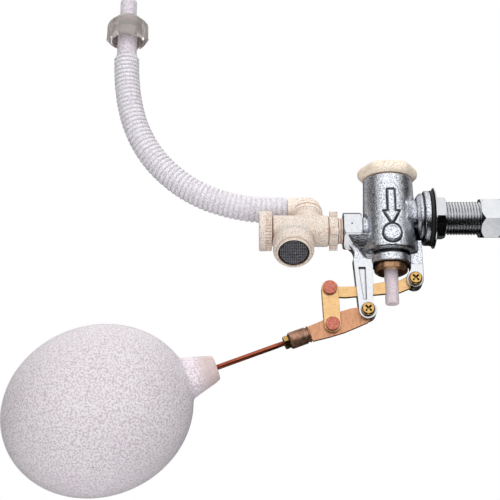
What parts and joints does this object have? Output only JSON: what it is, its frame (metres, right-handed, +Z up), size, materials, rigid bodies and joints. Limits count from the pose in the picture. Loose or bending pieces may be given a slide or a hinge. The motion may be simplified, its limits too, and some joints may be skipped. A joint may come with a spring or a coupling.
{
  "type": "float valve",
  "caption": "Side-entry tank float valve with compound lever, ball float, tee with screened port and a corrugated hand-wash hose.",
  "frame": {"origin": "inlet shank's axis at the outer face of the wall gasket, where the tank wall's inner face lies", "axes": "+X along the inlet shank out through the tank wall, +Z up, -Y is the front where the link and pivot screws are seen"},
  "size_m": [0.3024, 0.1, 0.3347],
  "materials": {
    "rough_chrome": "chrome plate over a rough casting",
    "bright_chrome": "polished chrome plate",
    "brass": "turned brass",
    "lever_brass": "pressed brass plate, brushed",
    "bronze": "dull brown bronze",
    "copper": "copper, semi-bright",
    "cream_plastic": "moulded cream plastic",
    "white_plastic": "white moulded plastic",
    "float_plastic": "translucent white polyethylene",
    "hose_plastic": "translucent white polyethylene",
    "clear_plastic": "translucent moulded plastic",
    "black_rubber": "matt black rubber",
    "black_mesh": "woven black mesh"
  },
  "bodies": {
    "valve": {"valve_body": "rough_chrome", "top_cap": "cream_plastic", "cap_o_ring": "black_rubber", "valve_seat": "brass", "gland_bush": "brass", "wall_gasket": "black_rubber", "wall_washer": "bright_chrome", "lock_nut": "bright_chrome", "end_nut": "bright_chrome", "supply_packing": "black_rubber", "tee_body": "cream_plastic", "port_screen": "black_mesh", "tee_union_nut": "cream_plastic", "spout_washer": "cream_plastic", "spigot_o_ring": "black_rubber", "spindle_bush": "brass", "hose_elbow": "cream_plastic", "float_arm_screw": "brass", "upper_lever_screw": "brass", "hose": "hose_plastic", "hose_nozzle": "hose_plastic", "hose_union_nut": "clear_plastic", "hose_packing": "black_rubber"},
    "arm": {"float_arm": "bronze", "rod_socket": "bronze", "rod_lock_nut": "brass", "float_rod": "copper", "float_ball": "float_plastic"},
    "link": {"link_bar_front": "lever_brass", "link_bar_rear": "lever_brass", "rivet_upper": "copper", "rivet_lower": "copper"},
    "lever": {"upper_lever": "lever_brass"},
    "stem": {"piston_stem": "white_plastic", "valve_disc": "black_rubber", "piston_o_ring": "black_rubber"},
    "knob": {"flow_knob": "cream_plastic", "flow_spindle": "white_plastic"}
  },
  "joints": [
    {"name": "float_arm_swing", "type": "hinge", "parent": "valve", "child": "arm", "pos_m": [-0.0421, 0, -0.0609], "axis": [0, 1, 0], "range_deg": [0, 30]},
    {"name": "link_turn", "type": "hinge", "parent": "arm", "child": "link", "pos_m": [-0.0637, 0, -0.0697], "axis": [0, 1, 0], "range_deg": [-25.32, 0]},
    {"name": "upper_lever_swing", "type": "hinge", "parent": "valve", "child": "lever", "pos_m": [-0.0127, 0, -0.0414], "axis": [0, 1, 0], "range_deg": [0, 13.29]},
    {"name": "stem_slide", "type": "slide", "parent": "valve", "child": "stem", "axis": [0, 0, 1], "range_m": [0, 0.00328]},
    {"name": "flow_knob_turn", "type": "hinge", "parent": "valve", "child": "knob", "pos_m": [-0.1, 0, -0.0085], "axis": [1, 0, 0], "range_deg": [0, 90]}
  ],
  "couplings": [
    {"joint": "link_turn", "follows": "float_arm_swing", "ratio": -0.8373},
    {"joint": "upper_lever_swing", "follows": "float_arm_swing", "ratio": 0.4365},
    {"joint": "stem_slide", "follows": "float_arm_swing", "m_per_rad": 0.00616}
  ]
}
